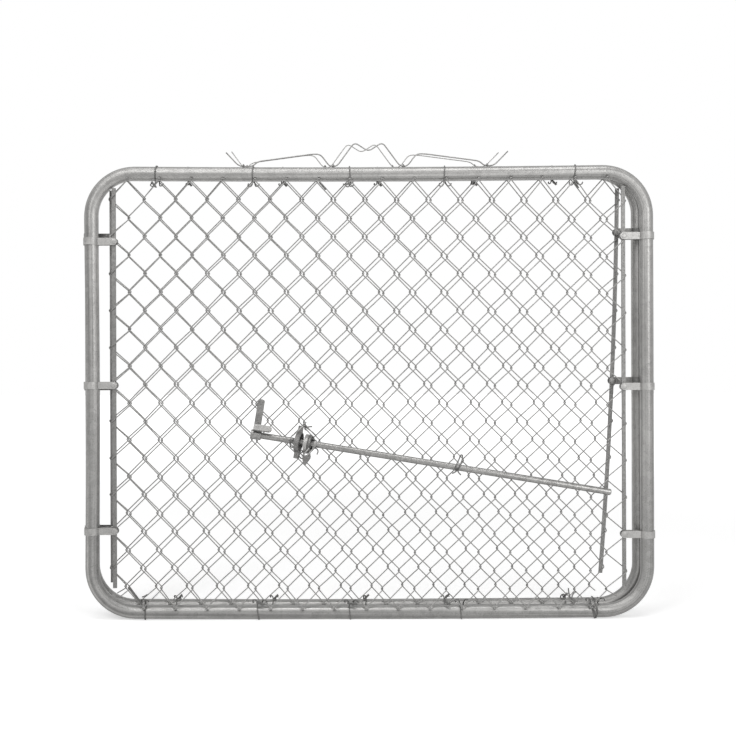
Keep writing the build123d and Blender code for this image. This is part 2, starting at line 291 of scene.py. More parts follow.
# Drawn tube: the mill leaves fine and broad streaks that run along it. The noise is read at
# k (cos a, sin a, 0) + m p, so that it changes fast round the tube and slowly along it.
def makeStreakGroup():
    group = bpy.data.node_groups.new("drawnStreaks", "ShaderNodeTree")
    newSocket(group, "Fine Streaks", "NodeSocketFloat", True, 0.1)
    newSocket(group, "Broad Streaks", "NodeSocketFloat", True, 0.1)
    newSocket(group, "Shade", "NodeSocketFloat", False)
    source = addNode(group, "NodeGroupInput", (-1000, 200))
    result = addNode(group, "NodeGroupOutput", (800, 0))
    coords = addNode(group, "ShaderNodeTexCoord", (-1000, -300))
    across = addNode(group, "ShaderNodeAttribute", (-1000, 0), attribute_name="roundCos")
    upward = addNode(group, "ShaderNodeAttribute", (-1000, -150), attribute_name="roundSin")
    around = addNode(group, "ShaderNodeCombineXYZ", (-800, 0))
    group.links.new(across.outputs["Fac"], around.inputs["X"])
    group.links.new(upward.outputs["Fac"], around.inputs["Y"])
    shades = []
    kinds = ((9.0, 1.6, "Fine Streaks"), (1.7, 0.9, "Broad Streaks"))
    for level, (fast, slow, share) in enumerate(kinds):
        drift = addNode(group, "ShaderNodeVectorMath", (-600, -300 * level), operation="SCALE")
        drift.inputs["Scale"].default_value = slow
        place = addNode(
            group, "ShaderNodeVectorMath", (-400, -300 * level), operation="MULTIPLY_ADD"
        )
        place.inputs[1].default_value = (fast, fast, fast)
        noise = addNode(group, "ShaderNodeTexNoise", (-200, -300 * level))
        noise.inputs["Scale"].default_value = 1
        noise.inputs["Detail"].default_value = 2
        centred = addNode(group, "ShaderNodeMath", (0, -300 * level), operation="SUBTRACT")
        centred.inputs[1].default_value = 0.5
        doubled = addNode(group, "ShaderNodeMath", (150, -300 * level), operation="MULTIPLY")
        shade = addNode(group, "ShaderNodeMath", (300, -300 * level), operation="MULTIPLY_ADD")
        shade.inputs[1].default_value = 4
        shade.inputs[2].default_value = 1
        group.links.new(coords.outputs["Object"], drift.inputs[0])
        group.links.new(around.outputs["Vector"], place.inputs[0])
        group.links.new(drift.outputs["Vector"], place.inputs[2])
        group.links.new(place.outputs["Vector"], noise.inputs["Vector"])
        group.links.new(noise.outputs["Fac"], centred.inputs[0])
        group.links.new(centred.outputs[0], doubled.inputs[0])
        group.links.new(source.outputs[share], doubled.inputs[1])
        group.links.new(doubled.outputs[0], shade.inputs[0])
        shades.append(shade)
    both = addNode(group, "ShaderNodeMath", (500, 0), operation="MULTIPLY")
    group.links.new(shades[0].outputs[0], both.inputs[0])
    group.links.new(shades[1].outputs[0], both.inputs[1])
    group.links.new(both.outputs[0], result.inputs["Shade"])
    return group


# The tube has streaks too, and the bender has rubbed its bends duller.
def makeTubeZinc(name, look, fine=0.3, broad=0.4, rubbed=0.1):
    material = makeZinc(name, look)
    tree = material.node_tree
    shader = tree.nodes["Principled BSDF"]
    coat = tree.nodes["coat"]
    streaks = addNode(tree, "ShaderNodeGroup", (-600, 300), node_tree=makeStreakGroup())
    streaks.inputs["Fine Streaks"].default_value = fine
    streaks.inputs["Broad Streaks"].default_value = broad
    tint = addNode(tree, "ShaderNodeVectorMath", (-300, 200), operation="SCALE")
    bent = addNode(tree, "ShaderNodeAttribute", (-600, -400), attribute_name="bent")
    dull = addNode(tree, "ShaderNodeMath", (-300, -100), operation="MULTIPLY_ADD")
    dull.inputs[1].default_value = rubbed
    tree.links.new(coat.outputs["Color"], tint.inputs[0])
    tree.links.new(streaks.outputs["Shade"], tint.inputs["Scale"])
    tree.links.new(tint.outputs["Vector"], shader.inputs["Base Color"])
    tree.links.new(bent.outputs["Fac"], dull.inputs[0])
    tree.links.new(coat.outputs["Roughness"], dull.inputs[2])
    tree.links.new(dull.outputs[0], shader.inputs["Roughness"])
    return material


tubeZinc = makeTubeZinc("frameTubeZinc", finishLook["tube"])
barZinc = makeZinc("tensionBarZinc", finishLook["bar"], 0.3)
dullAndShadedZinc = makeZinc("dullAndShadedStrapZinc", finishLook["dull"], 0.3)
tieZinc = makeZinc("tieWireZinc", finishLook["tie"], 0.1)
wireZinc = makeZinc("fabricWireZinc", finishLook["wire"], 0.1)
strapZinc = makeZinc("bandStrapZinc", finishLook["strap"], 0.25)
rodZinc = makeZinc("dropRodZinc", finishLook["rod"], 0.3)
boltZinc = makeZinc("bandBoltZinc", finishLook["bolt"], 0.35)
print("finishes ready")


# The two leaves

def readLeaf(name):
    low, high = (np.array(corner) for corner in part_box(name + "_frame"))
    radius = (high[1] - low[1]) / 2
    return {
        "name": name,
        "middle": (low + high) / 2,
        "tube": radius,
        "halfWidth": (high[0] - low[0]) / 2 - radius,
        "halfHeight": (high[2] - low[2]) / 2 - radius,
    }


leaves = {name: readLeaf(name) for name in ("front", "rear")}

frameLook = {
    "sides": 40,
    "bendRadius": 0.109,
    "bendSteps": 26,
    "runSteps": 50,
    "wave": 0.00035,  # a rolled tube is never quite straight
    "pinch": 0.0006,  # the bender flattens the tube a little in each bend
    "topSag": 0.0042,
    "footLift": 0.0022,
    "footSag": 0.0032,
    "bow": {"front": 0.0028, "rear": 0.0},  # the left upright bends inwards by this in its middle
}


# The rails sag. With c = cos(pi x / 2w), the top rail hangs lower by its sag times c and the foot
# rail lies higher by its lift less its sag times c, each in proportion to the height z / h.
def railSag(leaf, x, z):
    look = frameLook
    c = np.cos(np.clip(x / leaf["halfWidth"], -1, 1) * math.pi / 2)
    up = z / leaf["halfHeight"]
    foot = np.clip(-up, 0, 1) * (look["footLift"] - look["footSag"] * c)
    return foot - np.clip(up, 0, 1) * look["topSag"] * c


# Centre line of the loop: in bend k it is c + R (cos a, 0, sin a) with a from 90k to 90k + 90
# degrees, and straight between the bends.
def loopPath(leaf):
    look = frameLook
    width = leaf["halfWidth"] - look["bendRadius"]
    height = leaf["halfHeight"] - look["bendRadius"]
    centres = np.array([
        [width, 0, height],
        [-width, 0, height],
        [-width, 0, -height],
        [width, 0, -height],
    ])
    quarter = np.arange(4)[:, None] * math.pi / 2
    turn = quarter + np.linspace(0, math.pi / 2, look["bendSteps"])
    outward = np.stack([np.cos(turn), np.zeros_like(turn), np.sin(turn)], axis=-1)
    bends = centres[:, None] + look["bendRadius"] * outward
    share = (np.arange(look["runSteps"]) + 1) / (look["runSteps"] + 1)
    ends = np.roll(bends, -1, axis=0)[:, :1]
    runs = bends[:, -1:] + (ends - bends[:, -1:]) * share[None, :, None]
    inBend = np.sin(np.linspace(0, math.pi, look["bendSteps"]))
    bent = np.concatenate([inBend, np.zeros(look["runSteps"])])
    path = np.concatenate([bends, runs], axis=1).reshape(1, -1, 3)
    return path, np.tile(bent, 4)[None, :]


def makeLoop(leaf):
    look = frameLook
    path, bent = loopPath(leaf)
    inward = np.cos(path[..., 2] / leaf["halfHeight"] * math.pi / 2) ** 2
    bow = look["bow"][leaf["name"]] * inward * np.clip(-path[..., 0] / leaf["halfWidth"], 0, 1)
    path[..., 2] += railSag(leaf, path[..., 0], path[..., 2])
    path[..., 0] += bow
    steps = path.shape[1]
    along = np.arange(steps) / steps * 2 * math.pi
    drift = np.sin(along * 5 + 1.3) + 0.6 * np.sin(along * 11 + 0.4)
    radius = leaf["tube"] - look["pinch"] * np.sqrt(bent) - look["wave"] * (0.5 + 0.3 * drift)
    rings = carryRound(path, radius, look["sides"], (0, 1, 0), closed=True)
    rings = rings + leaf["middle"]
    turn = np.broadcast_to(np.arange(look["sides"]) * 2 * math.pi / look["sides"], rings.shape[:3])
    values = {"bent": bent, "roundCos": np.cos(turn), "roundSin": np.sin(turn)}
    return meshFromRings(leaf["name"] + "FrameTube", rings, True, values)


for leafName, leaf in leaves.items():
    tube = makeLoop(leaf)
    settle(tube, tubeZinc, [leafName + "_frame"])
print("frame tubes bent")


# Woven fabric

fabricLook = {
    "pickets": 32,
    "strands": 23,
    "wire": 0.0028,
    "sides": 8,
    "overlap": 0.0034,  # how far the noses of two pickets reach past each other
    "jog": 0.0044,  # drop of the wire where it passes from front to back at a nose
    "depth": 0.0042,  # from the middle of the fabric to each of its two layers of strands
    "noseRadius": 0.0042,
    "tail": 0.0075,  # the ends are bent over at the top and bottom
    "cornerCut": 0.45,
    "uneven": 0.0006,  # each nose lies off its place by about this much
    "edgeGap": 0.0047,  # from the rail to the middle of the first row of noses
    "knuckleGap": 0.0034,  # no row of noses comes closer to the rail than this
    "overTop": {"front": 0.003, "rear": 0.003},  # the knuckles lie on the front of the rails by this
    "overFoot": {"front": 0.006, "rear": 0.0085},
    "edgeReach": 0.0062,  # from the bar's middle line to the wire that turns round it
    # the weave is slack: millimetres by which its columns and rows lie off even spacing, see slackAt
    "columnDrift": {
        "front": (4.7, 12.1, -14.6, -25.6, -3.0, 13.5),
        "rear": (8.4, 12.0, -22.3, -28.0, -28.4, 13.4),
    },
    "rowDrift": {
        "front": (3.9, -20.3, 9.2, -10.5, 2.5, 2.7),
        "rear": (3.1, -30.4, 8.4, 0.4, 6.9, -4.7),
    },
    "barReach": {"front": (0.057, 0.058), "rear": (0.051, 0.0524)},  # from the uprights to the bars
    "barLean": {"front": (0, 0), "rear": (0.014, 0.038)},
}


# Slack a + b f + c f^2 + d t + e t f + g t^2 in millimetres, with the share t from left to right
# and the share f from top to foot.
def slackAt(drift, t, f):
    a, b, c, d, e, g = drift
    return 0.001 * (a + b * f + c * f**2 + d * t + e * t * f + g * t**2)


# Places of the noses, shape (pickets + 1, strands + 1): even spacing between the two bars, plus
# the slack of the weave. The edge columns stay on their bars, and the right bar leans and bows by
# lean f + bow f^2.
def nosePlaces(leaf, level):
    look = fabricLook
    name = leaf["name"]
    leftReach, rightReach = look["barReach"][name]
    left = -leaf["halfWidth"] + leftReach - look["edgeReach"]
    right = leaf["halfWidth"] - rightReach + look["edgeReach"]
    t = np.arange(look["pickets"] + 1)[:, None] / look["pickets"]
    f = (np.arange(look["strands"] + 1) / look["strands"])[None]
    lean, bow = look["barLean"][name]
    innerTop = leaf["halfHeight"] - leaf["tube"]
    fall = (innerTop - level)[None] / (2 * innerTop)
    even = left + (right - left) * t
    bars = even - t * (lean * fall + bow * fall**2)
    inside = (t > 0) & (t < 1)
    columns = np.where(inside, even + slackAt(look["columnDrift"][name], t, f), bars)
    limit = innerTop - look["knuckleGap"]
    highest = limit + railSag(leaf, columns, leaf["halfHeight"])
    lowest = railSag(leaf, columns, -leaf["halfHeight"]) - limit
    rows = np.clip(level[None] + slackAt(look["rowDrift"][name], t, f), lowest, highest)
    over = [look["overTop"][name], look["overFoot"][name]]
    top = innerTop + over[0] + railSag(leaf, columns[:, 0], leaf["halfHeight"])
    foot = -innerTop - over[1] + railSag(leaf, columns[:, -1], -leaf["halfHeight"])
    rows[1:-1, 0], rows[1:-1, -1] = top[1:-1], foot[1:-1]
    return columns, rows


# Depth at which a wire clears the front of a rail, where it reaches past the rail's edge by o:
# y = -(sqrt(2 R o - o^2) + wire).
def railClear(leaf, over):
    return -(math.sqrt(2 * leaf["tube"] * over - over**2) + fabricLook["wire"])


# Corner points of all pickets, shape (pickets, points, 3). Strand by strand the wire runs from a
# nose on one side to a nose on the other: rising strands lie in front, falling ones behind, and
# at each nose it passes through with a small drop.
def picketCorners(leaf):
    look = fabricLook
    strand = np.arange(look["strands"] + 1)
    picket = np.arange(look["pickets"])[:, None]
    top = leaf["halfHeight"] - leaf["tube"] - look["edgeGap"]
    level = top * (1 - 2 * strand / look["strands"])
    columns, drop = nosePlaces(leaf, level)
    loose = look["uneven"] * randomPlace.standard_normal((2,) + columns.shape)
    loose[0, [0, -1]] = 0
    loose[1, :, [0, -1]] = 0
    columns = columns + loose[0]
    drop = drop + loose[1]
    onLeft = (strand[None] % 2 == 0) == (picket % 2 == 1)
    lap = look["overlap"] / 2
    leftNose = columns[:-1] - np.where(picket > 0, lap, 0)
    rightNose = columns[1:] + np.where(picket < look["pickets"] - 1, lap, 0)
    x = np.where(onLeft, leftNose, rightNose)
    z = np.where(onLeft, drop[:-1], drop[1:])
    side = np.where(onLeft, -1.0, 1.0) * look["depth"]
    upper = np.stack([x, side, z + look["jog"] / 2], axis=-1)
    lower = np.stack([x, -side, z - look["jog"] / 2], axis=-1)
    topDepth = railClear(leaf, look["overTop"][leaf["name"]])
    footDepth = railClear(leaf, look["overFoot"][leaf["name"]] + look["jog"] / 2)
    upper[:, 0, 1], lower[:, 0, 1] = topDepth - look["wire"], topDepth
    upper[:, -1, 1], lower[:, -1, 1] = footDepth, footDepth - look["wire"]
    # the last strand at each edge is cut off by the frame's corner
    for edge in (0, look["pickets"] - 1):
        start = lower[edge, -2]
        upper[edge, -1] = start + (upper[edge, -1] - start) * look["cornerCut"]
        lower[edge, -1] = upper[edge, -1] + (upper[edge, -1] - start) * 0.05
    points = np.stack([upper, lower], axis=2).reshape(look["pickets"], -1, 3)
    inward = np.where(onLeft, 1.0, -1.0)
    topTail = points[:, 0] + look["tail"] * np.stack(
        [0.7 * inward[:, 0], 0.1 * inward[:, 0], -0.6 + 0 * inward[:, 0]], axis=-1
    )
    footTail = points[:, -1] + look["tail"] * np.stack(
        [0.7 * inward[:, -1], -0.1 * inward[:, -1], 0.6 + 0 * inward[:, -1]], axis=-1
    )
    footTail[[0, -1]] = points[[0, -1], -1] + (points[[0, -1], -1] - points[[0, -1], -3]) * 0.05
    return np.concatenate([topTail[:, None], points, footTail[:, None]], axis=1)


for leafName, leaf in leaves.items():
    corners = picketCorners(leaf)
    paths = roundCorners(corners, fabricLook["noseRadius"], 5)
    rings = carryRound(paths, fabricLook["wire"] / 2, fabricLook["sides"], (0, 0, 1))
    fabric = meshFromRings(leafName + "WovenFabric", rings + leaf["middle"])
    settle(fabric, wireZinc, [leafName + "_fabric"])
print("fabric woven")


# Wire ties that hold the fabric to the rails

tieLook = {
    "wire": 0.0031,
    "sides": 8,
    "gap": 0.0003,
    "bendRadius": 0.003,
    "drop": {"front": 0.0075, "rear": 0.005},
    "curl": {"front": 0.0086, "rear": 0.0050},
    # places along the rails from the leaf's middle, and how far each tie slants
    "Top": {
        "front": ((-0.533, 0.004), (-0.290, 0.002), (-0.048, -0.003), (0.192, 0.003), (0.521, 0.005)),
        "rear": ((-0.452, -0.003), (-0.209, 0.004), (0.033, 0.002), (0.277, -0.002), (0.480, 0.004)),
    },
    "Foot": {
        "front": ((-0.566, -0.004), (-0.278, 0.006), (-0.048, 0.005), (0.231, 0.006), (0.566, 0.013)),
        "rear": ((-0.480, 0.004), (-0.235, 0.003), (-0.003, -0.004), (0.202, 0.003), (0.505, -0.005)),
    },
}


# One rail's ties, shape (ties, points, 3): p = (slant, -R sin a, -R cos a) with a from below the
# rail through its front, top and back, and at both ends a hook over the fabric's knuckle.
def tieCorners(leaf, places, rise):
    look = tieLook
    at, slant = np.array(places).T
    reach = leaf["tube"] + look["gap"] + look["wire"] / 2
    turn = np.radians(np.linspace(28, 332, 15))
    x = at[:, None] + slant[:, None] * (turn / math.pi - 1)[None]
    y = np.broadcast_to(-reach * np.sin(turn), x.shape)
    z = np.broadcast_to(-reach * np.cos(turn), x.shape)
    around = np.stack([x, y, z], axis=-1)
    under = -reach - look["drop"][leaf["name"]]
    curl = look["curl"][leaf["name"]]
    firstEnd = np.array([
        [-1.15 * curl, -0.006, under + 0.2 * curl],
        [-1.5 * curl, -0.008, under - 0.5 * curl],
        [-0.7 * curl, -0.009, under - 0.9 * curl],
        [-0.1 * curl, -0.0075, under - 0.2 * curl],
        [0.05 * curl, -0.0075, under + 0.6 * curl],
    ])
    lastEnd = np.array([
        [0.1 * curl, 0.006, under + 0.5 * curl],
        [0.3 * curl, 0.0, under - 0.2 * curl],
        [0.6 * curl, -0.0085, under - 0.7 * curl],
        [1.3 * curl, -0.009, under - 0.6 * curl],
        [1.6 * curl, -0.007, under + 0.1 * curl],
    ])
    start = around[:, 0] * (1, 0, 0)
    stop = around[:, -1] * (1, 0, 0)
    corners = np.concatenate([start[:, None] + firstEnd, around, stop[:, None] + lastEnd], axis=1)
    corners[:, :, 2] = rise * (corners[:, :, 2] + leaf["halfHeight"])
    corners[:, :, 2] += railSag(leaf, corners[:, :, 0], rise * leaf["halfHeight"])
    return corners


for leafName, leaf in leaves.items():
    for place, rise in (("Top", 1), ("Foot", -1)):
        corners = tieCorners(leaf, tieLook[place][leafName], rise)
        paths = roundCorners(corners, tieLook["bendRadius"], 4)
        rings = carryRound(paths, tieLook["wire"] / 2, tieLook["sides"], (0.93, 0.21, 0.3))
        tiePiece = meshFromRings(leafName + place + "Ties", rings + leaf["middle"])
        settle(tiePiece, tieZinc)

# Loose wire about the front leaf. Each path goes through places listed in the picture: pixels
# across and down, and millimetres from the leaf's middle towards the front
looseWires = {
    "dark": {
        "hook under the drop rod": [
            (314.0, 448.4, 24), (315.6, 448.8, 27), (317.4, 450.3, 30), (317.6, 452.6, 32),
            (316.4, 455.0, 34),
        ],
        "arc over the drop rod": [
            (308.6, 439.2, 40), (310.6, 438.8, 32), (313.0, 439.6, 27), (314.8, 440.6, 22),
        ],
        "knot over the ear": [
            (300.6, 428.8, 50), (302.4, 425.4, 56), (305.0, 424.6, 58), (306.0, 427.0, 54),
            (304.0, 429.4, 52), (306.0, 430.8, 50),
        ],
        "wire end over the ear": [
            (303.6, 426.6, 52), (307.0, 427.6, 50), (309.6, 427.2, 46), (311.4, 427.2, 40),
        ],
        "curl left of the clamp": [
            (292.6, 438.6, 26), (293.4, 441.6, 32), (292.4, 444.6, 36), (294.4, 446.8, 36),
            (292.4, 448.2, 34), (289.8, 447.0, 28), (289.6, 443.6, 20), (287.6, 441.2, 10),
        ],
        "second curl left": [
            (288.4, 440.6, 24), (290.4, 442.6, 30), (292.2, 441.2, 34), (290.2, 439.6, 30),
        ],
        "loop under the clamp": [
            (300.6, 449.8, 46), (299.6, 453.2, 42), (298.4, 456.2, 32), (300.6, 459.2, 22),
            (303.4, 458.2, 18), (303.4, 454.4, 24), (301.6, 451.0, 34),
        ],
        "rod tie, left leg": [
            (459.6, 456.6, 10), (458.2, 460.4, 14), (456.4, 463.8, 22), (455.4, 466.4, 28),
            (455.6, 468.6, 28), (456.6, 471.0, 22), (454.4, 472.6, 20), (451.6, 473.9, 18),
        ],
        "rod tie, right leg": [
            (461.8, 455.6, 10), (461.8, 459.8, 14), (460.4, 463.2, 22), (459.2, 467.0, 28),
            (457.4, 470.4, 24), (457.4, 472.6, 18), (460.2, 475.4, 18),
        ],
        "rod tie, knot": [
            (455.2, 468.0, 29), (454.2, 470.4, 24), (456.2, 471.6, 23), (457.6, 470.0, 25),
        ],
        "rod tie, top": [(459.4, 457.0, 11), (460.6, 455.0, 12), (462.0, 456.0, 12)],
        "foot tie, wide strand": [
            (588.4, 599.4, 6), (587.4, 601.6, 14), (589.6, 605.4, 19), (592.4, 609.4, 21),
            (594.4, 613.6, 20), (594.4, 617.4, 10), (594.0, 618.6, 0),
        ],
        "foot tie, second strand": [
            (592.0, 598.6, 8), (593.6, 602.4, 16), (595.8, 607.6, 21), (596.6, 612.8, 20),
            (595.4, 616.8, 12), (594.2, 618.6, 2),
        ],
        "foot tie, knot": [
            (590.0, 596.4, 8), (592.8, 598.4, 12), (594.4, 600.2, 14), (592.2, 601.0, 17),
            (590.6, 599.0, 12),
        ],
        "foot tie, second knot": [
            (595.8, 597.4, 6), (598.4, 599.2, 10), (597.4, 601.0, 14), (595.0, 600.2, 12),
        ],
        "upright tail": [
            (567.2, 588.4, 8), (567.5, 592.4, 9), (568.6, 597.4, 10), (571.8, 599.6, 14),
            (573.0, 603.0, 19), (571.6, 605.0, 21),
        ],
        "bow beside the tail": [
            (575.0, 591.6, 8), (571.8, 594.2, 9), (570.4, 597.8, 11), (572.8, 600.8, 16),
        ],
        "hook on the left": [(141.2, 597.4, 8), (144.0, 596.6, 9), (146.4, 594.8, 8)],
        "nub on the left bar": [
            (111.6, 565.2, 4), (109.9, 566.4, 4), (110.4, 568.4, 5), (112.8, 567.6, 6),
        ],
        "curl under the top rail": [
            (353.6, 182.8, 6), (350.4, 184.6, 12), (346.2, 185.6, 13), (343.6, 184.8, 10),
        ],
    },
    "light": {
        "wire over the ear": [
            (291.6, 436.4, 40), (294.6, 434.0, 52), (298.0, 430.9, 60), (301.6, 427.4, 60),
            (304.6, 424.6, 52), (305.6, 422.8, 40),
        ],
        "strap end above the rod": [
            (306.0, 428.2, 50), (309.0, 430.2, 40), (312.2, 432.8, 30), (315.0, 435.4, 16),
        ],
        "wire over the lug": [
            (305.4, 457.6, 44), (307.6, 455.0, 54), (310.6, 451.4, 54), (313.6, 448.2, 40),
        ],
        "wire beside the lug": [
            (301.6, 456.6, 40), (303.4, 454.8, 52), (306.2, 451.6, 55), (308.4, 448.6, 50),
        ],
    },
}
# Twists of two wires, from one end to the other
looseTwists = {
    "left foot": [(128.6, 587.6, 5), (141.4, 604.6, 17)],
    "left top": [(152.2, 182.6, 10), (156.6, 188.0, 11)],
    "right top": [(574.0, 180.6, 10), (578.4, 188.6, 11)],
    "middle top": [(320.0, 182.8, 8), (326.2, 190.0, 8)],
    "right of the middle foot": [(442.4, 600.8, 9), (449.0, 605.0, 19)],
    "middle foot": [(346.4, 603.0, 12), (355.2, 604.6, 18)],
    "left of the middle foot": [(255.6, 602.4, 12), (263.4, 604.8, 18)],
}
pickedLook = {
    "pixel": (368, 368),  # the picture's middle
    "place": (-2.27, 61.9),  # that pixel's place from the leaf's middle, across and up
    "scale": 2.526,  # millimetres in a pixel at the leaf's middle
    "distance": 2370,  # from the camera to the leaf's middle
    "roll": 0.0035,
}
looseLook = {
    "dark": {"wire": 0.0034, "bendRadius": 0.004, "finish": tieZinc},
    "light": {"wire": 0.0034, "bendRadius": 0.006, "finish": strapZinc},
}
twistLook = {"wire": 0.0030, "spread": 0.0015, "pitch": 0.0075, "tail": 0.010}
wireSteps = 44  # along each loose wire and each twist


# Places from the leaf's middle of points listed in the picture, each d towards the front. With
# n = scale (1 - d / distance), x = x0 + n (px - cx) and z = z0 - n (py - cy) - roll x.
def placePicked(points):
    look = pickedLook
    px, py, towards = np.array(points, float).T
    near = look["scale"] * (1 - towards / look["distance"])
    x = look["place"][0] + near * (px - look["pixel"][0])
    z = look["place"][1] - near * (py - look["pixel"][1]) - look["roll"] * x
    return 0.001 * np.stack([x, -towards, z], axis=-1)


# Rounds a path and sets its points at even distances along it.
def evenPath(points, bendRadius):
    path = roundCorners(placePicked(points)[None], bendRadius, 6)[0]
    length = np.concatenate([[0], np.cumsum(np.linalg.norm(np.diff(path, axis=0), axis=1))])
    at = np.linspace(0, length[-1], wireSteps)
    return np.stack([np.interp(at, length, path[:, axis]) for axis in range(3)], axis=-1)


# Two strands wound round each other: p = a + (b - a) s + r (u cos q + v sin q), where q grows by
# one turn over each pitch and the second strand is half a turn behind the first.
def twistStrands(starts, stops):
    look = twistLook
    s = np.linspace(0, 1, wireSteps)[None, :, None]
    run = (stops - starts)[:, None]
    side = unit(np.cross(run, (0, 1, 0)))
    other = unit(np.cross(run, side))
    turns = np.linalg.norm(run, axis=2, keepdims=True) / look["pitch"]
    strands = []
    for behind in (0, math.pi):
        q = 2 * math.pi * turns * s + behind
        offset = look["spread"] * (side * np.cos(q) + other * np.sin(q))
        strands.append(starts[:, None] + run * s + offset)
    return np.concatenate(strands)


for tone, look in looseLook.items():
    paths = [evenPath(points, look["bendRadius"]) for points in looseWires[tone].values()]
    paths = np.stack(paths)
    rings = carryRound(paths, look["wire"] / 2, 8, (0.12, 0.97, 0.2))
    loosePiece = meshFromRings(tone + "LooseWires", rings + leaves["front"]["middle"])
    settle(loosePiece, look["finish"])

# The rear leaf's ties end in twisted tails that lie along the strands
leaf = leaves["rear"]
ends = np.stack([placePicked(pair) for pair in looseTwists.values()])
ends = ends + leaves["front"]["middle"]
starts, stops = [ends[:, 0]], [ends[:, 1]]
for place, rise in (("Top", 1), ("Foot", -1)):
    at = np.array(tieLook[place]["rear"])[:, 0]
    z = rise * (leaf["halfHeight"] - leaf["tube"] - 0.002)
    z = z + railSag(leaf, at, rise * leaf["halfHeight"])
    start = np.stack([at, np.full_like(at, -0.005), z], axis=-1) + leaf["middle"]
    starts.append(start)
    stops.append(start + np.array([twistLook["tail"], -0.003, -rise * twistLook["tail"] * 1.1]))
twistPaths = twistStrands(np.concatenate(starts), np.concatenate(stops))
rings = carryRound(twistPaths, twistLook["wire"] / 2, 8, (0.12, 0.97, 0.2))
settle(meshFromRings("tieTwists", rings), tieZinc)
print("ties wound")


# Crowns

crownLook = {
    "wire": {"front": 0.0033, "rear": 0.0026},
    "sides": 10,
    "halfWidth": 0.352,
    "height": 0.061,
    "bendRadius": 0.012,
    "leftEnd": {"front": ((0.926, 0), (1.02, 0.57)), "rear": ((0.86, 0), (0.945, 0.66))},
}
# Shares of the half width and of the height, from the middle outwards
crownShape = [
    (0, 0.62),
    (0.1, 1),
    (0.227, 0),
    (0.278, 0),
    (0.344, 0.51),
    (0.403, 0.51),
    (0.795, 0.2),
    (0.83, 0),
    (0.898, 0),
    (1, 0.59),
]


def makeCrown(leaf):
    look = crownLook
    low, high = (np.array(corner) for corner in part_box(leaf["name"] + "_crown"))
    half = np.array(crownShape) * (look["halfWidth"], look["height"])
    left = np.array(crownShape)
    left[-2:] = look["leftEnd"][leaf["name"]]
    left = left * (-look["halfWidth"], look["height"])
    both = np.concatenate([left[:0:-1], half])
    wire = look["wire"][leaf["name"]]
    base = low[2] + wire / 2
    middle = (low + high) / 2
    depth = np.full(len(both), middle[1])
    path = np.stack([middle[0] + both[:, 0], depth, base + both[:, 1]], axis=-1)
    path[:, 2] += railSag(leaf, path[:, 0] - leaf["middle"][0], leaf["halfHeight"])
    path = roundCorners(path[None], look["bendRadius"], 7)
    rings = carryRound(path, wire / 2, look["sides"], (0, 1, 0))
    return meshFromRings(leaf["name"] + "CrownWire", rings)


for leafName, leaf in leaves.items():
    crownZinc = wireZinc if leafName == "front" else strapZinc
    settle(makeCrown(leaf), crownZinc, [leafName + "_crown"])

# Short twisted ends of wire stand up where the crown's feet are bound to the rail
tickLook = {
    "places": {"front": (-0.897, -0.253, 0.248, 0.85), "rear": (-0.834, -0.266, 0.224, 0.824)},
    "height": 0.0085,
    "wire": 0.0030,
}


# Each end is a short path from the rail upwards that folds back on itself, see the corners.
def makeBinding(leaf):
    look = tickLook
    low, high = (np.array(corner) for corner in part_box(leaf["name"] + "_crown"))
    middle = (low + high) / 2
    at = middle[0] + np.array(look["places"][leaf["name"]]) * crownLook["halfWidth"]
    sag = railSag(leaf, at - leaf["middle"][0], leaf["halfHeight"])
    depth = np.full_like(at, middle[1] - 0.003)
    foot = np.stack([at, depth, low[2] - 0.001 + sag], axis=-1)
    rise = np.array([0.0, 0.006, look["height"]])
    crook = np.array([0.003, 0.004, look["height"] * 0.45])
    corners = np.stack([foot, foot + (0, -0.001, 0.004), foot + rise, foot + crook], axis=1)
    paths = roundCorners(corners, 0.002, 4)
    rings = carryRound(paths, look["wire"] / 2, 7, (1, 0.1, 0))
    return meshFromRings(leaf["name"] + "CrownBinding", rings)


for leaf in leaves.values():
    settle(makeBinding(leaf), tieZinc)
print("crowns bent")


# Band bolts: a domed head in front of the cheeks and a nut behind them

boltLook = {
    "head": {"front": 0.0070, "rear": 0.0088},
    "dome": {"front": 0.0012, "rear": 0.0038},
    "nut": 0.0078,
    "nutHeight": 0.0052,
    "thread": 0.0045,
    "tip": 0.0035,  # the bolt's end reaches past the nut by this
    "edge": 0.009,  # from the cheek's inner edge to the bolt
    "cheek": 0.0079,  # from the leaf's middle to the outside of a cheek
}


# A profile of radius and depth turned round the bolt's line: p = (r cos a, depth, r sin a).
def turnProfile(centres, profile, sides, turns):
    radius, depth = np.array(profile).T
    turn = turns[:, None] + np.arange(sides)[None] * 2 * math.pi / sides
    x = centres[:, None, None, 0] + radius[None, :, None] * np.cos(turn)[:, None]
    z = centres[:, None, None, 2] + radius[None, :, None] * np.sin(turn)[:, None]
    y = centres[:, None, None, 1] + np.broadcast_to(depth[None, :, None], x.shape)
    return np.stack([x, y, z], axis=-1)


def boltPlaces(leafName):
    look = boltLook
    front, back = [], []
    for name in nodes:
        if name.startswith(leafName) and name.endswith("_band"):
            low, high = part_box(name)
            inner = high.x - look["edge"] if "_left_" in name else low.x + look["edge"]
            level = (low.z + high.z) / 2
            middle = leaves[leafName]["middle"][1]
            front.append((inner, middle - look["cheek"], level))
            back.append((inner, middle + look["cheek"], level))
    return np.array(front), np.array(back)


